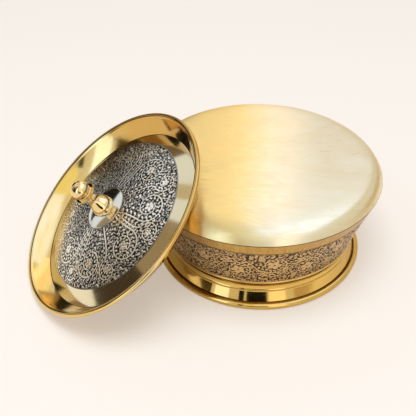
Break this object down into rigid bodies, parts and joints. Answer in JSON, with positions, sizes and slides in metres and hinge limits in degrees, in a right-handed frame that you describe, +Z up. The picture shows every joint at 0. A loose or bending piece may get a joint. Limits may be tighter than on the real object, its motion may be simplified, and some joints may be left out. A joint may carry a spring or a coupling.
{
  "type": "paan box",
  "caption": "Round brass box with a tapering engraved wall, a rolled mouth and a bulging bottom, shown upside down with its dished, knobbed lid leaning on it.",
  "frame": {"origin": "centre of the mouth, on the surface that the upturned box stands on", "axes": "+Z up along the box's axis, from the mouth to the bulging bottom; +Y away from the viewer; the lid leans on the -X side"},
  "size_m": [0.2517, 0.1991, 0.1034],
  "materials": {
    "polished_brass": "mirror polished",
    "plain_wire": "drawn",
    "plain_strip": "as rolled",
    "engraved_wall": "brushed, engraved scrolls with a darkened ground",
    "satin_bottom": "satin, turned grain",
    "engraved_lid": "polished, with an engraved silver-grey field",
    "screw_steel": "plain"
  },
  "bodies": {
    "box": {"mouth_collar": "polished_brass", "mouth_wire": "plain_wire", "neck_strip": "plain_strip", "body_wall": "engraved_wall", "seam_strip": "plain_strip", "bottom": "satin_bottom"},
    "lid": {"lid_pan": "engraved_lid", "lid_wire": "plain_wire", "knob": "polished_brass", "knob_screw": "screw_steel", "knob_washer": "plain_strip"}
  },
  "joints": [
    {"name": "lid_lift", "type": "slide", "parent": "box", "child": "lid", "axis": [-0.5858, -0.2547, 0.7694], "range_m": [0, 0.1]}
  ]
}
